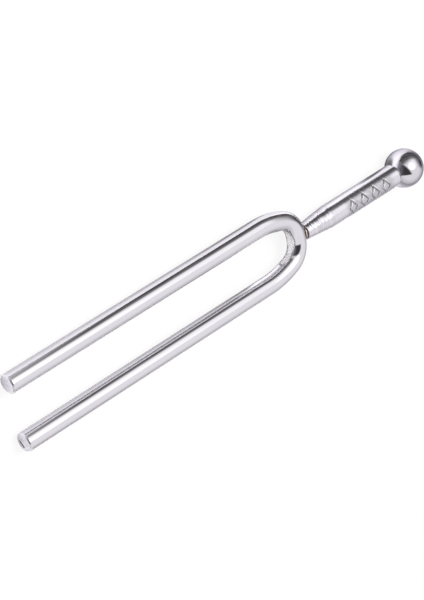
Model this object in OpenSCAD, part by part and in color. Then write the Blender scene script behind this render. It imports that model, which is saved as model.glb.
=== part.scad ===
// Tuning fork with round prongs, lying flat on its ball and prong tips.
// +X runs from the ball towards the prong tips, +Z is the upper face of the fork.
// The origin is under the middle of the fork, at the height of the ball's lowest point.
// All sizes are in millimetres.

/* [Rod and prongs] */
// Diameter of the round rod that the fork is bent from
rod_d = 4.5; // [4.2:0.1:4.8]
// Distance between the centre lines of the two prongs
prong_spacing = 14.1; // [13.6:0.1:15]
// Distance from the centre line of the bend's crown to the prong tips
prong_l = 83; // [70:0.25:95]
// Bevel round the end of each prong
tip_bevel = 0.3; // [0.1:0.05:0.5]

/* [Bend] */
// Width of the straight stretch across the crown of the bend
crown_w = 1.6; // [1:0.1:2]
// Radius of each shoulder of the bend, on the centre line
shoulder_r = 5.1; // [4.9:0.05:5.3]
// Angle that each shoulder turns through before the long side curve starts
shoulder_turn = 68; // [64:1:70]
// Radius of the round cut that flattens the inside of the bend
saddle_r = 4.2; // [4.1:0.05:4.3]
// Depth of that cut at the crown
saddle_depth = 0.5; // [0.3:0.05:0.6]

/* [Tuning marks on one prong] */
// Length of the notch in the prong's end
notch_l = 1.8; // [1:0.1:2.4]
// Width of the notch
notch_w = 0.4; // [0.3:0.05:0.6]
// Depth of the notch
notch_depth = 0.5; // [0.3:0.1:1]
// Distance of the notch from the middle of the end
notch_offset = 0.9; // [0.6:0.1:1.2]
// Size of the filed corner on the outer side
filed_corner = 0.8; // [0.4:0.1:1.2]

/* [Handle] */
// Diameter of the handle at the fork
neck_d = 4; // [3.6:0.1:4.2]
// Diameter of the straight part of the handle
handle_d = 5.5; // [5:0.1:6]
// Length of the taper from the neck to the straight part
taper_l = 7.7; // [6:0.1:9]
// Bevel at the ball end of the handle
handle_bevel = 0.35; // [0.2:0.05:0.5]
// Width of the flat rim round the ball's seat in the handle
seat_rim = 0.1; // [0.05:0.05:0.2]
// Gap between the crown of the bend and the handle, filled with braze
braze_gap = 0.15; // [0.1:0.05:0.3]

/* [Ball] */
// Diameter of the ball
ball_d = 9.2; // [8:0.1:10]
// Distance from the centre line of the crown to the centre of the ball
ball_from_crown = 36.6; // [34:0.1:40]

/* [Hidden studs] */
// Diameter of the stud that joins the handle to the fork
fork_stud_d = 2; // [1.6:0.1:2.2]
// Depth of that stud in the crown of the bend
fork_stud_in_crown = 2.6; // [2:0.1:3]
// Depth of that stud in the handle
fork_stud_in_handle = 6; // [4:0.5:8]
// Diameter of the stud that joins the ball to the handle
ball_stud_d = 3; // [2.5:0.1:3.2]
// Depth of that stud in the ball, from the centre of the ball towards the handle
ball_stud_past_seat = 3.2; // [2.5:0.1:4]
// Depth of that stud in the handle
ball_stud_in_handle = 5; // [4:0.5:8]

/* [Engraved marks] */
// Number of lozenges engraved along the top of the handle
mark_count = 4; // [1:1:5]
// Distance from one lozenge to the next
mark_pitch = 3.7; // [3.4:0.1:4]
// Length of a lozenge along the handle
mark_l = 2.8; // [2:0.1:3.2]
// Width of a lozenge across the handle
mark_w = 4; // [3:0.1:4.6]
// Width of the engraved line
mark_line = 0.45; // [0.25:0.05:0.5]
// Depth of the engraved line
mark_depth = 0.15; // [0.1:0.05:0.25]
// Distance from the centre line of the crown to the first lozenge
mark_start = 16.5; // [14:0.1:17]

/* [Hidden] */
$fn = 96;

rod_r = rod_d / 2;
ball_r = ball_d / 2;
prong_y = prong_spacing / 2;
// radius of the long side curves that run from the shoulders into the straight prongs
shoulder_y = crown_w / 2 + shoulder_r * sin(shoulder_turn);
side_r = (prong_y - shoulder_y) / (1 - sin(shoulder_turn));
// where the straight prongs start
bend_l = shoulder_r + (side_r - shoulder_r) * cos(shoulder_turn);

overall_l = prong_l + ball_from_crown + ball_r;
crown_x = overall_l / 2 - prong_l;
axis_z = ball_r;

// the handle's two ends, measured from the crown towards the ball
neck_start = rod_r + braze_gap;
handle_end_r = handle_d / 2 - handle_bevel;
seat_r = handle_end_r - seat_rim;
handle_end = ball_from_crown - sqrt(ball_r * ball_r - seat_r * seat_r);
braze_r = neck_d / 2 - 0.1;
cut = 1;
// the side curves and the crown are this much thinner, so that each stretch of rod ends on its own edge
weld_step = 0.01;

// Places a child drawn at the crown of the bend, with the prongs towards +X.
module at_crown() translate([crown_x, 0, axis_z]) children();

// Turns a child drawn along +Z so that it runs from the crown towards the ball.
module towards_ball(start = 0) translate([-start, 0, 0]) rotate([0, -90, 0]) children();

// An arc of the rod in the XY plane about the origin.
module rod_arc(radius, from, turn, thickness) {
    rotate([0, 0, from]) rotate_extrude(angle = turn) translate([radius, 0]) circle(d = thickness);
}

// One half of the bent rod, on the +Y side.
module half_rod() {
    translate([shoulder_r, crown_w / 2, 0]) rod_arc(shoulder_r, 180 - shoulder_turn, shoulder_turn, rod_d);
    translate([bend_l, prong_y - side_r, 0]) rod_arc(side_r, 90, 90 - shoulder_turn, rod_d - weld_step);
    translate([bend_l, prong_y, 0]) rotate([90, 0, 90]) {
        cylinder(d = rod_d, h = prong_l - bend_l - tip_bevel);
        translate([0, 0, prong_l - bend_l - tip_bevel])
            cylinder(d1 = rod_d, d2 = rod_d - 2 * tip_bevel, h = tip_bevel);
    }
}

// The bent rod before any cut.
module bent_rod() {
    half_rod();
    mirror([0, 1, 0]) half_rod();
    rotate([90, 0, 0]) cylinder(d = rod_d - weld_step, h = crown_w, center = true);
}

// The round cut that leaves a flat band on the inside of the bend.
module saddle_cut() {
    translate([rod_r - saddle_depth + saddle_r, 0, 0])
        cylinder(r = saddle_r, h = rod_d + cut, center = true);
}

// Notch in the end of the +Y prong, on its lower inner side, seen as a short dark slot.
module notch_cut() {
    translate([prong_l, prong_y, 0]) rotate([34, 0, 0]) translate([0, 0, -notch_offset])
        cube([2 * notch_depth, notch_l, notch_w], center = true);
}

// Filed corner on the outer, upper side of the same prong's end.
module filed_corner_cut() {
    corner = filed_corner * sqrt(0.5);
    translate([prong_l, prong_y, 0]) rotate([34, 0, 0]) translate([0, rod_r, 0]) rotate([0, 0, 45])
        translate([rod_r - corner, 0, 0]) cube(rod_d, center = true);
}

module fork() {
    color("silver") at_crown() difference() {
        bent_rod();
        saddle_cut();
        towards_ball(rod_r - fork_stud_in_crown) cylinder(d = fork_stud_d, h = fork_stud_in_crown + cut);
        notch_cut();
        filed_corner_cut();
    }
}

// Hidden stud between the fork and the handle.
module fork_stud() {
    color("dimgray") at_crown() towards_ball(rod_r - fork_stud_in_crown)
        cylinder(d = fork_stud_d, h = fork_stud_in_crown + braze_gap + fork_stud_in_handle);
}

// Collar of braze that fills the space between the round crown and the flat end of the handle.
module braze_ring() {
    color("sienna") at_crown() difference() {
        towards_ball() cylinder(r = braze_r, h = neck_start);
        bent_rod();
        towards_ball() cylinder(d = fork_stud_d, h = neck_start + cut);
    }
}

// Outline of one lozenge, drawn flat with its long side across the handle.
module lozenge(grow) {
    half_l = mark_l / 2 + grow;
    half_w = (mark_w / 2) * half_l / (mark_l / 2);
    polygon([[half_l, 0], [0, half_w], [-half_l, 0], [0, -half_w]]);
}

// The engraved lines: a row of lozenge outlines cut into the top of the handle.
module engraved_marks() {
    intersection() {
        for (i = [0 : mark_count - 1])
            translate([-mark_start - i * mark_pitch, 0, 0]) linear_extrude(handle_d) difference() {
                lozenge(0);
                lozenge(-mark_line);
            }
        towards_ball(neck_start) difference() {
            cylinder(d = handle_d + cut, h = handle_end);
            translate([0, 0, -cut]) cylinder(d = handle_d - 2 * mark_depth, h = handle_end + 2 * cut);
        }
    }
}

module handle() {
    straight_l = handle_end - neck_start - taper_l - handle_bevel;
    color("silver") at_crown() difference() {
        towards_ball(neck_start) {
            cylinder(d1 = neck_d, d2 = handle_d, h = taper_l);
            translate([0, 0, taper_l]) cylinder(d = handle_d, h = straight_l);
            translate([0, 0, taper_l + straight_l])
                cylinder(d1 = handle_d, d2 = 2 * handle_end_r, h = handle_bevel);
        }
        translate([-ball_from_crown, 0, 0]) sphere(d = ball_d);
        towards_ball() cylinder(d = fork_stud_d, h = neck_start + fork_stud_in_handle);
        towards_ball(handle_end - ball_stud_in_handle)
            cylinder(d = ball_stud_d, h = ball_stud_in_handle + cut);
        engraved_marks();
    }
}

// Hidden stud between the handle and the ball.
module ball_stud() {
    color("dimgray") at_crown() towards_ball(handle_end - ball_stud_in_handle)
        cylinder(d = ball_stud_d, h = ball_stud_in_handle + ball_stud_past_seat);
}

module ball() {
    color("gainsboro") at_crown() difference() {
        translate([-ball_from_crown, 0, 0]) sphere(d = ball_d);
        towards_ball(handle_end - cut) cylinder(d = ball_stud_d, h = ball_stud_past_seat + cut);
    }
}

fork();
fork_stud();
braze_ring();
handle();
ball_stud();
ball();
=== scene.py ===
"""Looks of the tuning fork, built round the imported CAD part.

Lengths are in millimetres until a mesh, a node or an object is made. Noise is given in features per metre.
"""

import math

import bmesh
import bpy
import numpy as np
from mathutils import Matrix, Vector


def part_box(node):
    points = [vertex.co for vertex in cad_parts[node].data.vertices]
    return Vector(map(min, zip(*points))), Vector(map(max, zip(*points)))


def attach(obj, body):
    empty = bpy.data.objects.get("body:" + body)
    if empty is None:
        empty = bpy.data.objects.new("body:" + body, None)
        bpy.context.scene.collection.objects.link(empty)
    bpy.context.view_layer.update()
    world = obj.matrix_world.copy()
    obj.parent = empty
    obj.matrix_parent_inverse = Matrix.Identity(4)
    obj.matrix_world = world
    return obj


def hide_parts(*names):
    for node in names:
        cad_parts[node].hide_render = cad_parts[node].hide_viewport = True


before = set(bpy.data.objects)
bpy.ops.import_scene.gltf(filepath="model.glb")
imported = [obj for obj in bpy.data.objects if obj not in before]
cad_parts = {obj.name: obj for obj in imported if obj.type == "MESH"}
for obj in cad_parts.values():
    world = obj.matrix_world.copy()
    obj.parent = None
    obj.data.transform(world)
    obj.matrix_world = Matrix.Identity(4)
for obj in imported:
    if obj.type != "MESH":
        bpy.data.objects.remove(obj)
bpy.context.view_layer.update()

MM = 0.001


# ---------------------------------------------------------------- sizes

def box_mm(node):
    low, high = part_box(node)
    return np.array(low) / MM, np.array(high) / MM


fork_low, fork_high = box_mm("fork")
ball_low, ball_high = box_mm("ball")
handle_low, handle_high = box_mm("handle")

rod_r = (fork_high[2] - fork_low[2]) / 2
prong_y = fork_high[1] - rod_r
tip_x = fork_high[0]
crown_x = fork_low[0] + rod_r
ball_r = (ball_high[2] - ball_low[2]) / 2
ball_x = ball_low[0] + ball_r
axis_z = (ball_low[2] + ball_high[2]) / 2
handle_r = (handle_high[1] - handle_low[1]) / 2
prong_l = tip_x - crown_x
neck_start = crown_x - handle_high[0]
handle_end = crown_x - handle_low[0]
ball_from_crown = crown_x - ball_x

# named sizes of the CAD source that no box shows
tip_bevel = 0.3
crown_w = 1.6
shoulder_r = 5.1
shoulder_turn = math.radians(68)
saddle_r = 4.2
saddle_depth = 0.5
neck_r = 2.0
taper_l = 7.7
handle_end_r = 2.4
seat_r = 2.3
fork_stud_r = 1.0
fork_stud_end = neck_start + 6.0
ball_stud_r = 1.5
ball_stud_start = handle_end - 5.0
ball_stud_end = handle_end + 3.2
braze_r = 1.9
mark_count = 4
mark_pitch = 3.7
mark_half_l = 1.4
mark_half_w = 2.0
mark_line = 0.45
mark_depth = 0.15
mark_start = 16.5
notch_size = (1.0, 1.8, 0.4)
notch_offset = 0.9
filed_corner = 0.8
tip_marks_turn = math.radians(34)

# room that the finer meshes leave round the hidden studs, and a ring on the floor of the ball stud's bores
bore_play = 0.01
bore_end_play = 0.02
bore_floor_r = 0.7

shoulder_y = crown_w / 2 + shoulder_r * math.sin(shoulder_turn)
side_r = (prong_y - shoulder_y) / (1 - math.sin(shoulder_turn))
bend_l = shoulder_r + (side_r - shoulder_r) * math.cos(shoulder_turn)


def link(name, data):
    """A new object in the scene."""
    made = bpy.data.objects.new(name, data)
    bpy.context.scene.collection.objects.link(made)
    return made


# ---------------------------------------------------------------- camera

def make_camera():
    """A long lens beyond the prong tips, high up, rolled so that the handle points up to the right."""
    place = Vector((266.52, -216.97, 345.49))
    aim = Vector((6.22, 2.28, axis_z))
    roll = math.radians(107.486)
    forward = (aim - place).normalized()
    level = forward.cross(Vector((0, 0, 1))).normalized()
    right = math.cos(roll) * level + math.sin(roll) * level.cross(forward)
    up = right.cross(forward)
    data = bpy.data.cameras.new("camera")
    data.sensor_width = 36
    data.sensor_fit = "AUTO"
    data.lens = 132.58
    data.clip_start = 0.01
    data.clip_end = 20
    data.dof.use_dof = False
    camera = link("camera", data)
    camera.matrix_world = Matrix.Translation(place * MM) @ Matrix((right, up, -forward)).transposed().to_4x4()
    bpy.context.scene.camera = camera


# ---------------------------------------------------------------- node helpers

class Shader:
    """A material's node tree, with short calls for adding and joining nodes."""

    def __init__(self, name):
        self.material = bpy.data.materials.new(name)
        self.material.use_nodes = True
        self.tree = self.material.node_tree
        self.tree.nodes.clear()
        self.output = self.tree.nodes.new("ShaderNodeOutputMaterial")
        self.place = self.add("ShaderNodeTexCoord").outputs["Object"]

    def add(self, kind, settings=(), inputs=()):
        """A new node. An input is a value or another node's output."""
        node = self.tree.nodes.new(kind)
        for key, value in dict(settings).items():
            setattr(node, key, value)
        for key, value in dict(inputs).items():
            self.put(node.inputs[key], value)
        return node

    def put(self, socket, value):
        if isinstance(value, bpy.types.NodeSocket):
            self.tree.links.new(value, socket)
        else:
            socket.default_value = value

    def math(self, operation, a, b=0.0):
        return self.add("ShaderNodeMath", {"operation": operation}, {0: a, 1: b}).outputs[0]

    def plus(self, a, b):
        return self.math("ADD", a, b)

    def times(self, *factors):
        """The product of two or more values."""
        product = factors[0]
        for factor in factors[1:]:
            product = self.math("MULTIPLY", product, factor)
        return product

    def darken(self, tone, share, amount=1.0):
        """The tone, less this amount of it where the share is 1."""
        return self.times(tone, self.math("SUBTRACT", 1.0, self.times(share, amount)))

    def vector(self, operation, *values, output="Vector"):
        return self.add("ShaderNodeVectorMath", {"operation": operation}, enumerate(values)).outputs[output]

    def split(self, vector):
        """The x, y and z of a vector."""
        return tuple(self.add("ShaderNodeSeparateXYZ", {}, {0: vector}).outputs)

    def ramp(self, value, low, high, to_low=0.0, to_high=1.0):
        """A smooth step between two values, given for the low and the high end."""
        return self.add("ShaderNodeMapRange", {"interpolation_type": "SMOOTHSTEP"},
                        {"Value": value, "From Min": low, "From Max": high,
                         "To Min": to_low, "To Max": to_high}).outputs["Result"]

    def ramp_mm(self, value, low, high, to_low=0.0, to_high=1.0):
        """The same for a length, with its two ends in millimetres."""
        return self.ramp(value, low * MM, high * MM, to_low, to_high)

    def band(self, value, low, high, soft):
        """1 between low and high, falling to 0 over twice the softness at each end."""
        above = self.ramp(value, low - soft, low + soft)
        return self.times(above, self.ramp(value, high + soft, high - soft))

    def degrees(self, radians):
        return self.times(radians, 180 / math.pi)

    def angle_between(self, direction, middle):
        """Degrees between a direction and a fixed one."""
        cosine = self.vector("DOT_PRODUCT", direction, middle, output="Value")
        return self.degrees(self.math("ARCCOSINE", cosine))

    def distance_from(self, middle):
        """Distance in metres from a place that is given in millimetres."""
        return self.vector("DISTANCE", self.place, [c * MM for c in middle], output="Value")

    def blend(self, share, a, b):
        node = self.add("ShaderNodeMix", {"data_type": "RGBA"}, {"Factor": share})
        self.put(node.inputs[6], a)
        self.put(node.inputs[7], b)
        return node.outputs[2]

    def noise(self, stretch, detail=3.0, roughness=0.55):
        """Noise with this many features per metre along x, y and z."""
        placed = self.add("ShaderNodeMapping", {}, {"Vector": self.place, "Scale": stretch})
        return self.add("ShaderNodeTexNoise", {},
                        {"Vector": placed.outputs[0], "Scale": 1.0, "Detail": detail,
                         "Roughness": roughness}).outputs["Fac"]

    def cells(self, per_metre):
        """Distance to the nearest of scattered points, this many per metre."""
        points = self.add("ShaderNodeTexVoronoi", {}, {"Vector": self.place, "Scale": per_metre})
        return points.outputs["Distance"]

    def bump(self, height, depth_mm, normal=None):
        inputs = {"Height": height, "Distance": depth_mm * MM, "Strength": 1.0}
        if normal is not None:
            inputs["Normal"] = normal
        return self.add("ShaderNodeBump", {}, inputs).outputs["Normal"]

    def metal(self, colour, roughness, normal=None, rim=(1, 1, 1, 1), metallic=1.0):
        """Metal. The rim colour tints what it mirrors at a grazing angle."""
        inputs = {"Base Color": colour, "Metallic": metallic, "Roughness": roughness, "Specular Tint": rim}
        if normal is not None:
            inputs["Normal"] = normal
        return self.show(self.add("ShaderNodeBsdfPrincipled", {}, inputs).outputs[0])

    def glow(self, colour, strength):
        return self.add("ShaderNodeEmission", {}, {"Color": colour, "Strength": strength}).outputs[0]

    def show(self, surface):
        """The finished material, with this surface."""
        self.put(self.output.inputs["Surface"], surface)
        return self.material

    def paper(self, colour, glow_colour, strength):
        """Matt paper that also glows by itself."""
        matt = self.add("ShaderNodeBsdfDiffuse", {}, {"Color": colour}).outputs[0]
        both = self.add("ShaderNodeAddShader", {}, {0: matt, 1: self.glow(glow_colour, strength)})
        return self.show(both.outputs[0])


# ---------------------------------------------------------------- materials

def polished_rod():
    """Bright plated rod: mirror-like, with fine polishing lines along it and faint cloudy wear."""
    s = Shader("polished_rod")
    clouds = s.noise((220, 260, 260))
    lines = s.noise((500, 7000, 7000), 2)
    specks = s.ramp(s.noise((5200, 5200, 5200), 2), 0.66, 0.74)
    colour = s.blend(clouds, (0.835, 0.82, 0.845, 1), (0.875, 0.862, 0.882, 1))
    colour = s.blend(s.times(specks, 0.22), colour, (0.62, 0.6, 0.62, 1))
    rough = s.plus(s.ramp(clouds, 0.3, 0.7, 0.05, 0.1), s.times(specks, 0.1))
    normal = s.bump(s.noise((900, 1500, 1500), 2), 0.0011)
    normal = s.bump(lines, 0.0004, normal)
    return s.metal(colour, rough, normal)


def satin_flat():
    """The filed and blasted flat inside the bend: fine grain, no clear reflections."""
    s = Shader("satin_flat")
    grain = s.noise((7800, 7800, 7800), 3, 0.7)
    pits = s.ramp(s.cells(4200), 0.0, 0.5)
    colour = s.blend(s.ramp(grain, 0.35, 0.65), (0.86, 0.845, 0.835, 1), (0.98, 0.965, 0.955, 1))
    rough = s.ramp(grain, 0.3, 0.7, 0.38, 0.56)
    normal = s.bump(pits, 0.004, s.bump(grain, 0.006))
    return s.metal(colour, rough, normal, metallic=0.85)


def ground_end():
    """Flat ends and cuts, left from a grinding wheel: parallel scratches, soft grey reflection."""
    s = Shader("ground_end")
    scratches = s.noise((900, 900, 9000), 3, 0.6)
    clouds = s.noise((900, 900, 900))
    colour = s.blend(s.ramp(scratches, 0.35, 0.65), (0.84, 0.82, 0.84, 1), (0.95, 0.935, 0.955, 1))
    rough = s.ramp(clouds, 0.3, 0.7, 0.26, 0.4)
    return s.metal(colour, rough, s.bump(scratches, 0.004))


def turned_handle():
    """Turned and polished handle: fine rings round it, strongest on the taper, and a worn marked patch."""
    s = Shader("turned_handle")
    x, _, z = s.split(s.place)
    taper_end = crown_x - neck_start - taper_l
    marks_front = crown_x - mark_start
    ball_end = ball_x + ball_r
    on_taper = s.ramp_mm(x, taper_end - 1.6, taper_end + 0.4)
    near_marks = s.times(s.ramp_mm(z, axis_z + 0.4, axis_z + 1.4),
                         s.times(s.ramp_mm(x, marks_front + 2.6, marks_front + 1),
                                 s.ramp_mm(x, ball_end + 1, ball_end + 3)))
    clouds = s.noise((420, 300, 300))
    specks = s.ramp(s.noise((4800, 4800, 4800), 2), 0.64, 0.74)
    dark_rings = s.times(s.ramp(s.noise((5200, 60, 60), 2), 0.5, 0.62), on_taper)
    worn = s.times(near_marks, s.ramp(s.noise((1300, 1300, 1300)), 0.3, 0.7, 0.4, 0.95))
    colour = s.blend(clouds, (0.815, 0.802, 0.838, 1), (0.865, 0.852, 0.885, 1))
    colour = s.blend(s.times(specks, 0.3), colour, (0.55, 0.53, 0.56, 1))
    colour = s.blend(s.times(dark_rings, 0.35), colour, (0.42, 0.4, 0.42, 1))
    colour = s.blend(worn, colour, (0.54, 0.525, 0.55, 1))
    rings = s.noise((6500, 130, 130), 3, 0.6)
    rough = s.plus(s.ramp(rings, 0.3, 0.7, 0.09, 0.17), s.times(specks, 0.12))
    rough = s.plus(rough, s.times(worn, 0.12))
    normal = s.bump(s.noise((1100, 700, 700), 2), 0.0016, leaning_rings(s, on_taper))
    return s.metal(colour, rough, s.bump(rings, 0.0009, normal))


def leaning_rings(s, on_taper):
    """The surface's direction, with each turned ring leaning a little its own way."""
    rings = s.add("ShaderNodeMapping", {}, {"Vector": s.place, "Scale": (3300, 90, 90)}).outputs[0]
    lean = s.add("ShaderNodeTexNoise", {}, {"Vector": rings, "Scale": 1.0, "Detail": 2.0}).outputs["Color"]
    lean = s.vector("SUBTRACT", lean, (0.5, 0.5, 0.5))
    amount = s.plus(s.times(on_taper, 0.34), 0.06)
    lean = s.add("ShaderNodeVectorMath", {"operation": "SCALE"}, {0: lean, "Scale": amount}).outputs[0]
    facing = s.add("ShaderNodeNewGeometry").outputs["Normal"]
    return s.vector("NORMALIZE", s.vector("ADD", facing, lean))


def engraved_line():
    """The floor of the engraved lines: rougher metal with dull residue in it."""
    s = Shader("engraved_line")
    residue = s.noise((3500, 3500, 3500), 3, 0.65)
    colour = s.blend(s.ramp(residue, 0.4, 0.62), (0.18, 0.17, 0.175, 1), (0.66, 0.64, 0.66, 1))
    return s.metal(colour, s.ramp(residue, 0.3, 0.7, 0.34, 0.16), s.bump(residue, 0.008))


def mirror_ball():
    """Lapped ball: a clean mirror with hair scratches and very faint unevenness."""
    s = Shader("mirror_ball")
    haze = s.noise((380, 380, 380))
    hairs = s.ramp(s.noise((300, 9000, 2200), 2), 0.62, 0.72)
    colour = s.blend(haze, (0.765, 0.75, 0.785, 1), (0.815, 0.8, 0.835, 1))
    colour = s.blend(s.times(hairs, 0.16), colour, (0.56, 0.54, 0.57, 1))
    rough = s.plus(s.ramp(haze, 0.3, 0.7, 0.025, 0.05), s.times(hairs, 0.07))
    return s.metal(colour, rough, s.bump(s.noise((700, 700, 700), 2), 0.0005), (0.55, 0.54, 0.57, 1))


def braze():
    """Brown braze with heat tint, lumps and bright beads."""
    s = Shader("braze")
    tint = s.noise((1500, 1500, 1500), 3, 0.6)
    beads = s.ramp(s.noise((3800, 3800, 3800), 2), 0.6, 0.7)
    colour = s.blend(s.ramp(tint, 0.36, 0.62), (0.03, 0.016, 0.014, 1), (0.16, 0.095, 0.07, 1))
    colour = s.blend(beads, colour, (0.5, 0.42, 0.38, 1))
    rough = s.ramp(tint, 0.35, 0.65, 0.5, 0.3)
    return s.metal(colour, rough, s.bump(tint, 0.03, s.bump(beads, 0.02)))


def bare_braze():
    """The middle of the fillet, cleaned to bare metal between spots of tint."""
    s = Shader("bare_braze")
    spots = s.noise((2600, 2600, 2600), 3, 0.65)
    colour = s.blend(s.ramp(spots, 0.38, 0.55), (0.14, 0.08, 0.06, 1), (0.86, 0.79, 0.74, 1))
    return s.metal(colour, s.ramp(spots, 0.35, 0.6, 0.45, 0.22), s.bump(spots, 0.02))


def plain_steel():
    """Hidden studs: drawn steel with lengthwise drawing lines."""
    s = Shader("plain_steel")
    lines = s.noise((300, 7000, 7000), 3)
    colour = s.blend(s.ramp(lines, 0.35, 0.65), (0.4, 0.39, 0.38, 1), (0.6, 0.59, 0.58, 1))
    return s.metal(colour, s.ramp(lines, 0.3, 0.7, 0.3, 0.45), s.bump(lines, 0.003))


# ---------------------------------------------------------------- mesh helpers

def wobble(u, v):
    """Smooth, repeatable unevenness from 0 to 1. A length of about 6 in u or v is one swell."""
    return 0.5 + 0.125 * (np.sin(1.03 * u + 0.7 * v) + np.sin(0.61 * u - 1.13 * v + 1.9)
                          + np.sin(1.71 * u + 0.31 * v + 4.1) + np.sin(0.37 * u + 1.9 * v + 2.6))


def link_mesh(name, points, faces, materials, face_material=None):
    """A smooth-shaded object from points in millimetres, with its normals facing out."""
    mesh = bpy.data.meshes.new(name)
    mesh.from_pydata((np.asarray(points) * MM).tolist(), [], faces)
    for material in materials:
        mesh.materials.append(material)
    if face_material is not None:
        mesh.polygons.foreach_set("material_index", np.asarray(face_material, np.int32))
    made = bmesh.new()
    made.from_mesh(mesh)
    bmesh.ops.recalc_face_normals(made, faces=made.faces)
    made.to_mesh(mesh)
    made.free()
    return link(name, mesh)


def soften(piece, degrees=30):
    """Smooth shading, with edges steeper than this kept sharp."""
    piece.data.shade_smooth()
    piece.data.set_sharp_from_angle(angle=math.radians(degrees))


def ring_faces(rows, columns, close_rows=False):
    """Quads of a grid whose columns close on themselves, and its rows too if asked."""
    faces = []
    for i in range(rows if close_rows else rows - 1):
        low, high = i * columns, ((i + 1) % rows) * columns
        for j in range(columns):
            k = (j + 1) % columns
            faces.append((low + j, low + k, high + k, high + j))
    return faces


def capped_grid(grid, start, end):
    """Points and faces of rings of points joined in a row, closed at both ends by a centre point."""
    rows, columns, _ = grid.shape
    points = np.vstack([grid.reshape(-1, 3), start, end])
    faces = ring_faces(rows, columns)
    last = (rows - 1) * columns
    for j in range(columns):
        k = (j + 1) % columns
        faces.append((rows * columns, k, j))
        faces.append((rows * columns + 1, last + j, last + k))
    return points, faces


def turned_points(distance, radius, angle):
    """Points at a distance from the crown and a radius from the handle's axis. Angle 0 is up."""
    x = crown_x - distance + 0 * radius
    return np.stack([x, radius * np.sin(angle), axis_z + radius * np.cos(angle)], axis=-1)


def axis_point(distance):
    """The point on the handle's axis at this distance from the crown."""
    return turned_points(distance, np.zeros(1), np.zeros(1))


def arc(radius, from_angle, to_angle, steps, centre=(0.0, 0.0)):
    """Points on an arc, as (along, out)."""
    turn = np.linspace(from_angle, to_angle, steps)
    return np.stack([centre[0] + radius * np.cos(turn), centre[1] + radius * np.sin(turn)], axis=-1)


def keep(piece, node):
    """The piece rides on the one body and stands for its CAD node."""
    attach(piece, "root")
    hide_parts(node)


# ---------------------------------------------------------------- fork

# the fork's materials, in the order of its slots
ROD, SATIN, GROUND, RESIDUE = range(4)

# reach of the rod where the round cut misses it
uncut = 3 * rod_r

# rings that round a prong's bevel, as (distance from the tip, inset), then rings across its flat end
BEVEL_RINGS = ((0.55, 0), (0.37, 0), (0.33, 0.003), (0.3, 0.012), (0.272, 0.034),
               (0.15, 0.152), (0.034, 0.272), (0.012, 0.3), (0.003, 0.33))
END_RINGS = ((0, 0.37), (0, 0.8), (0, 1.3), (0, 1.8))


def bend_arc(centre_x, centre_y, radius, from_angle, to_angle):
    """Part of the centre line, in half_line's form. Its last point is left to the next part."""
    inward = -arc(1, from_angle, to_angle, 36)[:-1]
    return np.hstack([(centre_x, centre_y) - radius * inward, inward])


def half_line():
    """Centre line from the crown's middle to the +Y prong, as rows of x, y, inward x and inward y."""
    crown = np.array([[0, y, 1, 0] for y in np.linspace(0, crown_w / 2, 5)[:-1]])
    side_start = math.pi - shoulder_turn
    shoulder = bend_arc(shoulder_r, crown_w / 2, shoulder_r, math.pi, side_start)
    side = bend_arc(bend_l, prong_y - side_r, side_r, side_start, math.pi / 2)
    straight = np.array([[x, prong_y, 0, -1] for x in np.linspace(bend_l, prong_l - 3 * tip_bevel, 64)])
    return np.vstack([crown, shoulder, side, straight])


def saddle_distance(line):
    """How far the rod reaches inwards from its centre line before the round cut takes it away."""
    to_cut = np.array([rod_r - saddle_depth + saddle_r, 0]) - line[:, :2]
    along = (to_cut * line[:, 2:]).sum(axis=1)
    aside = (to_cut ** 2).sum(axis=1) - along ** 2
    reach = along - np.sqrt(np.maximum(saddle_r ** 2 - aside, 0))
    return np.where((aside < saddle_r ** 2) & (reach > 0), reach, uncut)


def section(reach):
    """One ring of the rod as (inward, up), flat where the cut reaches it. Points are closest on the flat."""
    rounding = 0.03
    least_half = 0.5
    flat_points = 34
    round_points = 112
    flat_half = math.sqrt(rod_r ** 2 - reach ** 2) if reach < rod_r else 0
    flat_half = max(flat_half, least_half)
    up = np.linspace(-flat_half, flat_half, flat_points)
    inner = np.sqrt(rod_r ** 2 - up ** 2)
    if reach < 2 * rod_r:
        inner = 0.5 * (inner + reach - np.sqrt((inner - reach) ** 2 + rounding ** 2))
    start = math.asin(flat_half / rod_r)
    round_part = arc(rod_r, start, 2 * math.pi - start, round_points)[1:-1]
    return np.vstack([np.stack([inner, up], axis=-1), round_part])


def rod_rings(line):
    """Rings of points along the bent rod, and how much the cut and the swells take off each point."""
    most_swell = 0.012
    rings, taken = [], []
    for row, cut in zip(line, saddle_distance(line)):
        ring = section(cut)
        around = np.arctan2(ring[:, 1], ring[:, 0])
        swell = most_swell * wobble(row[0] * 0.9 + 3 * np.sign(row[1]), 2.2 * around)
        ring = ring * (1 - swell / rod_r)[:, None]
        taken.append(rod_r - np.hypot(ring[:, 0], ring[:, 1]))
        x = crown_x + row[0] + ring[:, 0] * row[2]
        y = row[1] + ring[:, 0] * row[3]
        rings.append(np.stack([x, y, axis_z + ring[:, 1]], axis=-1))
    return rings, taken


def end_rings(side, swell):
    """The rings of one prong's end, from the straight part to the middle of the flat."""
    made = []
    for back, inset in BEVEL_RINGS + END_RINGS:
        ring = section(uncut) * ((rod_r - inset - swell) / rod_r)[:, None]
        y = side * (prong_y - ring[:, 0])
        made.append(np.stack([np.full(len(ring), tip_x - back), y, axis_z + ring[:, 1]], axis=-1))
    return made


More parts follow.
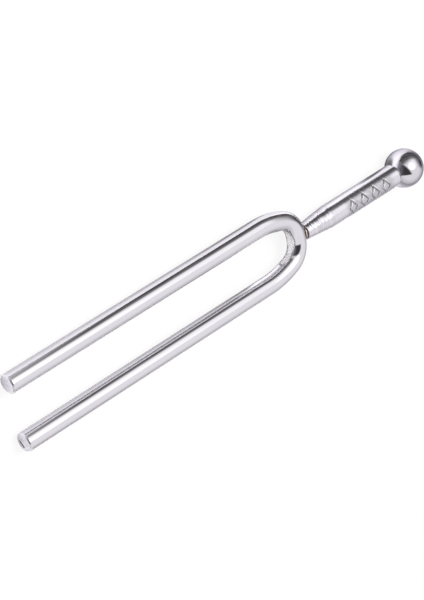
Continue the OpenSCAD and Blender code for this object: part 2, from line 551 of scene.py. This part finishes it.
def make_fork(rod, satin, ground, residue):
    """The bent rod as one skin from tip to tip: flat inside the bend, with round bevels and faint swells."""
    flat_depth = 0.11
    edge_depth = 0.02
    half = half_line()
    rings, taken = rod_rings(np.vstack([half[:0:-1] * (1, -1, 1, -1), half]))
    grid = np.array(end_rings(-1, taken[0])[::-1] + rings + end_rings(1, taken[-1]))
    points, faces = capped_grid(grid, [[tip_x, -prong_y, axis_z]], [[tip_x, prong_y, axis_z]])

    # the flat ends and most of each bevel are ground
    insets = [inset for _, inset in BEVEL_RINGS + END_RINGS]
    ground_rows = sum(inset > edge_depth for inset in insets)
    rows, columns, _ = grid.shape
    depth = np.zeros((rows, columns))
    depth[len(insets):-len(insets)] = taken
    kinds = []
    for i in range(rows - 1):
        for j in range(columns):
            k = (j + 1) % columns
            corners = (depth[i, j], depth[i, k], depth[i + 1, j], depth[i + 1, k])
            if min(corners) > flat_depth:
                kinds.append(SATIN)
            elif max(corners) > edge_depth:
                kinds.append(RESIDUE)
            else:
                kinds.append(GROUND if i < ground_rows or i >= rows - 1 - ground_rows else ROD)
    kinds += [GROUND] * (2 * columns)
    fork = link_mesh("fork_visual", points, faces, [rod, satin, ground, residue], kinds)
    cut_tip_marks(fork)
    soften(fork)
    keep(fork, "fork")


def cut_tip_marks(fork):
    """Cuts the notch and the filed corner into the +Y prong's end."""
    tip = Matrix.Translation((tip_x, prong_y, axis_z)) @ Matrix.Rotation(tip_marks_turn, 4, "X")
    notch = tip @ Matrix.Translation((0, 0, -notch_offset)) @ Matrix.Diagonal((*notch_size, 1))
    notch_rounding = 0.12
    corner = filed_corner * math.sqrt(0.5)
    filed = (tip @ Matrix.Translation((0, rod_r, 0)) @ Matrix.Rotation(math.pi / 4, 4, "Z")
             @ Matrix.Translation((rod_r - corner, 0, 0)) @ Matrix.Scale(2 * rod_r, 4))
    cuts = (("notch", notch, notch_rounding, RESIDUE), ("filed", filed, 0, GROUND))
    for name, place, rounding, kind in cuts:
        made = bmesh.new()
        bmesh.ops.create_cube(made, size=1, matrix=place)
        if rounding:
            bmesh.ops.bevel(made, geom=list(made.edges), offset=rounding, segments=4,
                            affect="EDGES", profile=0.5)
        for face in made.faces:
            face.material_index = kind
        made.transform(Matrix.Scale(MM, 4))
        mesh = bpy.data.meshes.new(name)
        made.to_mesh(mesh)
        made.free()
        for material in fork.data.materials:
            mesh.materials.append(material)
        cutter = link(name, mesh)
        cut = fork.modifiers.new(name, "BOOLEAN")
        cut.operation = "DIFFERENCE"
        cut.solver = "EXACT"
        cut.object = cutter
        with bpy.context.temp_override(object=fork, active_object=fork, selected_objects=[fork]):
            bpy.ops.object.modifier_apply(modifier=cut.name)
        bpy.data.objects.remove(cutter)
        bpy.data.meshes.remove(mesh)


# ---------------------------------------------------------------- handle

# the handle's materials, in the order of its slots
METAL, LINE, CUT = range(3)


def handle_rows():
    """The handle's outline as (distance from the crown, radius): its neck's edge, its body and its bevel."""
    past_marks = 1.6
    edge = 0.12
    marks_start = mark_start - past_marks
    marks_end = mark_start + (mark_count - 1) * mark_pitch + past_marks
    bevel = handle_r - handle_end_r
    bevel_start = handle_end - bevel
    along = np.concatenate([np.linspace(neck_start + edge, marks_start, 170)[:-1],
                            np.linspace(marks_start, marks_end, 286)[:-1],
                            np.linspace(marks_end, bevel_start - edge, 22)])
    radius = np.clip(neck_r + (handle_r - neck_r) * (along - neck_start) / taper_l, None, handle_r)
    body = np.stack([along, radius], axis=-1)
    neck_edge = np.array([[neck_start, neck_r - 0.1], [neck_start + 0.012, neck_r - 0.045],
                          [neck_start + 0.045, neck_r - 0.008]])
    end_round_r = bevel + 0.08
    rounded = arc(end_round_r, math.pi / 2, 0, 9, (handle_end - end_round_r, handle_r - end_round_r))
    return neck_edge, body, rounded


def groove_depth(distance, across):
    """Depth of the engraved lines: a row of lozenge outlines, round-bottomed, with worn shoulders."""
    lip_slope = 0.035
    lip_end = 1.9
    half_share = mark_line / mark_half_l / 2
    depth = 0 * distance
    for i in range(mark_count):
        size = abs(distance - mark_start - i * mark_pitch) / mark_half_l + abs(across) / mark_half_w
        # distance from the line's middle, in halves of its width
        off = abs(size - (1 - half_share)) / half_share
        lip = lip_slope * np.clip(lip_end - off, 0, lip_end - 1)
        depth = np.maximum(depth, np.maximum(mark_depth * np.clip(1 - off ** 2, 0, 1), lip))
    return depth


def handle_surface(body, angle):
    """Radius of the handle's body all round, with its turning ridges and grooves, and the grooves' depth."""
    ridge_pitch, ridge_depth = 1.3, 0.012
    fine_pitch, fine_depth = 0.37, 0.008
    swell_depth = 0.01
    distance = body[:, :1] + 0 * angle
    radius = body[:, 1:] + 0 * angle
    on_taper = np.clip((neck_start + taper_l + 0.6 - distance) / 0.8, 0, 1)
    ridges = np.sin(2 * math.pi * (distance - neck_start) / ridge_pitch + 1.2 * np.sin(angle + 0.4)
                    + 1.7 * np.sin(0.9 * distance))
    fine_ridges = np.sin(2 * math.pi * distance / fine_pitch + 1.1 * np.sin(2.3 * distance)
                         + 0.9 * np.sin(2 * angle))
    radius = radius - on_taper * (ridge_depth * (1 + ridges) + fine_depth * (1 + fine_ridges)) / 2
    radius = radius - swell_depth * wobble(distance * 0.8, 2 * np.cos(angle) + 5 * np.sin(angle))
    groove = groove_depth(distance, handle_r * np.sin(angle)) * (np.cos(angle) > 0)
    return radius - groove, groove


def make_handle(metal, line, ground):
    """The handle as one skin from bore to bore, finest on top, where the marks are."""
    # half of the angle that the fine part covers
    marked_half = 52
    fine = np.radians(np.linspace(-marked_half, marked_half, 101))
    coarse = np.radians(np.linspace(marked_half, 360 - marked_half, 96))[1:-1]
    angle = np.concatenate([fine, coarse])
    neck_edge, body, rounded = handle_rows()
    radius, groove = handle_surface(body, angle)

    seat_play = 0.02
    seat_inner_r = ball_stud_r + seat_play
    seat = arc(ball_r + seat_play, math.asin(seat_r / ball_r), math.asin(seat_inner_r / ball_r), 8)
    seat = np.stack([ball_from_crown - seat[:, 0], seat[:, 1]], axis=-1)
    fork_bore_end = fork_stud_end + bore_end_play
    ball_bore_end = ball_stud_start - bore_end_play
    fork_bore_r = fork_stud_r + bore_play
    bore_edge_l, bore_edge_w = 0.02, 0.03
    before = [[fork_bore_end, fork_stud_r / 2], [fork_bore_end, fork_bore_r],
              [neck_start + bore_edge_l, fork_bore_r], [neck_start, fork_bore_r + bore_edge_w],
              [neck_start, (fork_stud_r + neck_r) / 2]] + neck_edge.tolist()
    after = rounded.tolist() + seat.tolist()
    after += [[ball_bore_end, ball_stud_r + bore_play], [ball_bore_end, bore_floor_r]]
    rows = [turned_points(d, r + 0 * angle, angle) for d, r in before]
    rows += [turned_points(d, r, angle) for d, r in zip(body[:, 0], radius)]
    rows += [turned_points(d, r + 0 * angle, angle) for d, r in after]
    points, faces = capped_grid(np.array(rows), axis_point(fork_bore_end), axis_point(ball_bore_end))

    body_end = len(before) + len(body)
    seat_start = body_end + len(rounded)
    # painted shade in the gap by the ball's seat: the last rows of the handle's rounded end take the dark
    # line material; and the part of a groove that holds residue
    gap_shade_rows = 4
    residue_depth = 0.35 * mark_depth
    engraved = np.zeros((len(rows), len(angle)), bool)
    engraved[len(before):body_end] = groove > residue_depth
    kinds = []
    for i in range(len(rows) - 1):
        in_line = engraved[i] & engraved[i + 1]
        # painted shade in the gap between the handle's end and the ball
        if seat_start - gap_shade_rows <= i < seat_start:
            kinds += [LINE] * len(angle)
        elif i < len(before) - 1 or i >= seat_start - 1:
            kinds += [CUT] * len(angle)
        else:
            kinds += [LINE if marked else METAL for marked in in_line & np.roll(in_line, -1)]
    kinds += [CUT] * (2 * len(angle))
    handle = link_mesh("handle_visual", points, faces, [metal, line, ground], kinds)
    soften(handle, 40)
    keep(handle, "handle")


# ---------------------------------------------------------------- ball

def make_ball(metal, ground):
    """The ball, turned about the handle's axis, with its stud's bore towards the handle."""
    angle = np.radians(np.linspace(0, 360, 193)[:-1])
    opening = math.asin(ball_stud_r / ball_r)
    pole = 0.02
    bore_end = ball_stud_end + bore_end_play
    outside = arc(ball_r, math.pi - pole, opening, 150)
    profile = [[ball_from_crown - along, out] for along, out in outside]
    profile += [[bore_end, ball_stud_r], [bore_end, bore_floor_r]]
    rows = [turned_points(d, r + 0 * angle, angle) for d, r in profile]
    points, faces = capped_grid(np.array(rows), axis_point(ball_from_crown + ball_r), axis_point(bore_end))
    # the bore's wall and floor are ground, and the caps come in turns: one outside, one in the bore
    bore_start = (len(outside) - 1) * len(angle)
    caps_start = (len(rows) - 1) * len(angle)
    kinds = np.zeros(len(faces), int)
    kinds[bore_start:caps_start] = 1
    kinds[caps_start + 1::2] = 1
    ball = link_mesh("ball_visual", points, faces, [metal, ground], kinds)
    soften(ball, 40)
    keep(ball, "ball")


# ---------------------------------------------------------------- braze

def rod_surface(across, up):
    """Distance from the crown's centre line to the rod's outside, towards the ball."""
    thick = np.sqrt(np.maximum(rod_r ** 2 - up ** 2, 0))
    past = np.maximum(abs(across) - crown_w / 2, 0)
    return np.where(past > 0, np.sqrt((shoulder_r + thick) ** 2 - past ** 2) - shoulder_r, thick)


def make_braze(tinted, bare):
    """An uneven, hollow fillet between the round crown and the handle's flat end, tinted at its edges."""
    sunk = 0.04
    hollow = 0.2
    bore_r = fork_stud_r + 2 * bore_play
    steps = np.linspace(0, 1, 15)
    bow = 4 * steps * (1 - steps)
    rows = []
    for a in np.radians(np.linspace(0, 360, 145)[:-1]):
        lump = 0.045 * np.sin(5 * a + 0.6) + 0.03 * np.sin(11 * a + 2) + 0.022 * np.sin(23 * a + steps * 5)
        out = braze_r - 0.02 - hollow * bow * (1 + lump * 3) - 0.03 * (1 + np.sin(7 * a + 1)) * steps
        out = np.minimum(out + 0.5 * lump * bow, braze_r - 0.005)
        rod_at = rod_surface(out * np.sin(a), out * np.cos(a)) - sunk
        rod_at_bore = rod_surface(bore_r * math.sin(a), bore_r * math.cos(a)) - sunk
        outer = turned_points(neck_start + (rod_at - neck_start) * steps, out, a)
        inner = turned_points(np.array([rod_at_bore, neck_start]), np.full(2, bore_r), a)
        rows.append(np.vstack([outer, inner]))
    grid = np.array(rows)
    turns, columns, _ = grid.shape
    faces = ring_faces(turns, columns, close_rows=True)
    # bare metal in the middle of the fillet, with one edge that comes and goes
    kinds = [int(4 <= j < 10 + (i * 7 % 5 > 2)) for i in range(turns) for j in range(columns)]
    ring = link_mesh("braze_visual", grid.reshape(-1, 3), faces, [tinted, bare], kinds)
    soften(ring, 50)
    keep(ring, "braze_ring")


# ---------------------------------------------------------------- studio

def show_only_in_metal(piece, also=()):
    """Leaves a stage piece out of all but the metal's reflections and the ways named in also."""
    for way in ("camera", "diffuse", "transmission", "volume_scatter", "shadow"):
        setattr(piece, "visible_" + way, way in also)


def stage_plane(name, corners, material):
    mesh = bpy.data.meshes.new(name)
    mesh.from_pydata([[c * MM for c in corner] for corner in corners], [], [(0, 1, 2, 3)])
    mesh.materials.append(material)
    plane = link(name, mesh)
    return plane


def floor_height(x):
    """The fork lies on its ball and its prong tips, so the floor tilts a little towards the tips."""
    return (x - ball_x) * (axis_z - rod_r) / (tip_x - tip_bevel - ball_x)


def floor_corners(drop):
    """A square of floor, this far below the fork's lowest points."""
    reach = 1500
    return [(x, y, floor_height(x) - drop) for x, y in
            ((-reach, -reach), (reach, -reach), (reach, reach), (-reach, reach))]


def white_paper():
    """Evenly white paper with faint fibres, whatever light falls on it."""
    s = Shader("paper")
    fibres = s.noise((900, 900, 900), 4)
    return s.paper(s.blend(fibres, (0.13, 0.13, 0.13, 1), (0.15, 0.15, 0.15, 1)), (1, 1, 1, 1), 0.87)


def mirrored_paper():
    """The paper in the metal's reflections: shaded beside the fork, past the ball and by the dark card."""
    s = Shader("floor_mirrored")
    x, y, _ = s.split(s.place)
    from_middle = s.math("ABSOLUTE", y)
    tone = s.times(s.ramp_mm(y, 6, 36, 1.0, 0.5), s.ramp_mm(y, -20, -100, 1.0, 0.76))
    past_ball = s.times(s.ramp_mm(y, 30, 0), s.ramp_mm(x, -64, -86))
    by_card = s.times(s.ramp_mm(y, -22, -50), s.ramp_mm(x, -35, -70))
    tone = s.darken(s.darken(tone, past_ball, 0.78), by_card, 0.8)
    tone = s.darken(tone, fork_shade(s, x, from_middle))

    # the paper by the handle's end is deepest in shade, and the paper inside the bend is bright
    gap = s.distance_from((ball_x + 6.5, -4.6, 0))
    tone = s.darken(tone, s.ramp_mm(gap, 5.5, 1.5), 0.7)
    in_bend = s.times(s.ramp_mm(x, crown_x, crown_x + 3), s.ramp_mm(x, -4, -10))
    inside = s.times(in_bend, s.ramp_mm(from_middle, 5.5, 3.5))
    tone = s.math("MAXIMUM", tone, inside)

    # a lit patch beside the handle
    patch = s.ramp_mm(s.distance_from((-46, -19, 0)), 20, 8, 0.04, 0.3)
    grey = s.blend(tone, (0, 0, 0, 1), (1.0, 0.985, 1.02, 1))
    return s.paper(s.blend(0.85, (0, 0, 0, 1), grey), grey, s.plus(patch, s.times(inside, 0.28)))


def fork_shade(s, x, from_middle):
    """Soft shade on the paper along the prongs, the bend and the handle, from 0 to its depth."""
    from_prong = s.math("ABSOLUTE", s.math("SUBTRACT", from_middle, prong_y * MM))
    at_prongs = s.ramp_mm(x, crown_x - rod_r, crown_x + bend_l)
    at_handle = s.math("SUBTRACT", 1.0, at_prongs)
    away = s.plus(s.times(from_prong, at_prongs), s.times(from_middle, at_handle))
    along = s.times(s.ramp_mm(x, tip_x + 1, tip_x - 3), s.ramp_mm(x, ball_x - 8, ball_x))
    at_bend = s.times(s.ramp_mm(x, -30, -22), s.ramp_mm(x, 12, -6))
    depth = s.plus(s.ramp_mm(x, 0, tip_x, 0.42, 0.2), s.times(at_bend, 0.2))
    return s.times(s.ramp_mm(away, 8.5, 3), along, depth)


def make_floor():
    """White paper as the camera sees it, and a greyer sheet under it that only the metal mirrors."""
    seen = stage_plane("floor", floor_corners(0.01), white_paper())
    for way in ("glossy", "diffuse", "shadow"):
        setattr(seen, "visible_" + way, False)
    show_only_in_metal(stage_plane("floor_mirrored", floor_corners(0.03), mirrored_paper()))


def tent_light():
    """Pale walls, one softbox, and the dark room behind it. Angles are in degrees."""
    s = Shader("tent")
    direction = s.vector("NORMALIZE", s.place)
    x, y, z = s.split(direction)
    height = s.degrees(s.math("ARCSINE", z))
    # angle round from the -Y side, towards +X where it is positive
    turn = s.degrees(s.math("ARCTAN2", x, s.times(y, -1.0)))
    shade = (0.08, 0.075, 0.085, 1)

    tone = s.blend(s.ramp(height, -12, 44, 0.46, 0.86), (0, 0, 0, 1), (1.0, 0.978, 1.022, 1))

    # the dark room starts at two straight edges: the end of the paper behind the fork, and the softbox's side
    behind = s.plus(y, s.times(x, 0.1))
    beside = s.plus(x, s.times(y, 0.4))
    room = s.times(s.ramp(beside, 0.07, 0.29), s.ramp(behind, 0.46, 0.36), s.ramp(height, 0, 12))
    noise = s.add("ShaderNodeTexNoise", {}, {"Vector": direction, "Scale": 7.0, "Detail": 3.0}).outputs["Fac"]
    clutter = s.times(s.ramp(height, 50, 10), s.ramp(noise, 0.35, 0.6, 0.25, 1.0))
    dark = s.blend(clutter, (0.026, 0.02, 0.02, 1), (0.24, 0.235, 0.27, 1))
    tone = s.blend(s.times(room, 0.97), tone, dark)

    corner = s.times(s.band(turn, -112, -88, 7), s.band(height, 2, 24, 6))
    tone = s.blend(s.times(corner, 0.8), tone, shade)
    horizon = s.times(s.band(height, -8, 4, 4), s.ramp(y, 0.4, 0.7), s.ramp(x, -0.56, -0.44))
    tone = s.blend(s.times(horizon, 0.6), tone, shade)

    off_box = s.angle_between(direction, (-0.25, -0.45, 0.857))
    off_lamp = s.angle_between(direction, (-0.16, -0.3, 0.94))
    box = s.times(s.ramp(off_box, 34, 27), s.math("MAXIMUM", s.ramp(off_lamp, 33, 22), s.ramp(x, 0.0, -0.2)))
    box_light = s.blend(s.ramp(off_lamp, 27, 8), (1.03, 1.02, 1.04, 1), (1.8, 1.79, 1.81, 1))
    tone = s.blend(box, tone, box_light)

    # the tent is dimmer far from the softbox, beyond the ball
    far_end = s.times(s.ramp(x, -0.64, -0.96, 0.0, 0.8), s.ramp(y, 0.36, 0.1))
    tone = s.blend(far_end, tone, (0.03, 0.028, 0.032, 1))
    return s.show(s.glow(tone, 1.0))


def make_tent():
    """A round tent of soft light that the metal mirrors, and that lights the mirrored paper."""
    mesh = bpy.data.meshes.new("tent")
    made = bmesh.new()
    bmesh.ops.create_uvsphere(made, u_segments=48, v_segments=24, radius=1.4)
    made.to_mesh(mesh)
    made.free()
    mesh.materials.append(tent_light())
    tent = link("tent", mesh)
    show_only_in_metal(tent, also=("diffuse",))


def make_dark_card():
    """A dark card standing beside the fork: the long dark stripe that the round metal mirrors."""
    s = Shader("dark_card")
    x, _, z = s.split(s.place)
    # the card's right edge leans, and its top and right edges are soft
    slanted = s.math("SUBTRACT", x, s.times(s.math("SUBTRACT", z, 38 * MM), 0.5))
    share = s.times(s.ramp_mm(z, 118, 34), s.ramp_mm(slanted, 42, -14))
    folds = s.ramp(s.noise((26, 26, 34)), 0.38, 0.62, 0.065, 0.15)
    clear = s.add("ShaderNodeBsdfTransparent").outputs[0]
    card = s.add("ShaderNodeMixShader", {}, {0: share, 1: clear, 2: s.glow((1, 0.97, 0.99, 1), folds)})
    material = s.show(card.outputs[0])
    left, right, top = -700, 60, 140
    corners = [(x, -95, z) for x, z in ((left, -8), (right, 3), (right, top), (left, top))]
    show_only_in_metal(stage_plane("dark_card", corners, material))


def make_key_light():
    """A large soft lamp high above the handle. The metal mirrors the tent's softbox in its place."""
    data = bpy.data.lights.new("key", "AREA")
    data.shape = "SQUARE"
    data.size = 0.4
    data.energy = 2.3
    lamp = link("key", data)
    lamp.location = (-0.18, -0.28, 0.6)
    lamp.rotation_mode = "QUATERNION"
    lamp.rotation_quaternion = lamp.location.to_track_quat("Z", "Y")
    lamp.visible_camera = False
    lamp.visible_glossy = False


def make_world():
    """White all round for the camera only."""
    world = bpy.data.worlds.new("white_room")
    bpy.context.scene.world = world
    world.use_nodes = True
    background = world.node_tree.nodes["Background"]
    background.inputs["Color"].default_value = (1, 1, 1, 1)
    background.inputs["Strength"].default_value = 1.0
    world.cycles_visibility.diffuse = False
    world.cycles_visibility.glossy = False
    bpy.context.scene.view_settings.view_transform = "Standard"


# ---------------------------------------------------------------- the scene

make_camera()
ground = ground_end()
residue = engraved_line()
make_fork(polished_rod(), satin_flat(), ground, residue)
make_handle(turned_handle(), residue, ground)
make_ball(mirror_ball(), ground)
make_braze(braze(), bare_braze())

steel = plain_steel()
for stud in ("fork_stud", "ball_stud"):
    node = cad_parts[stud]
    node.data.materials.clear()
    node.data.materials.append(steel)

make_floor()
make_tent()
make_dark_card()
make_key_light()
make_world()
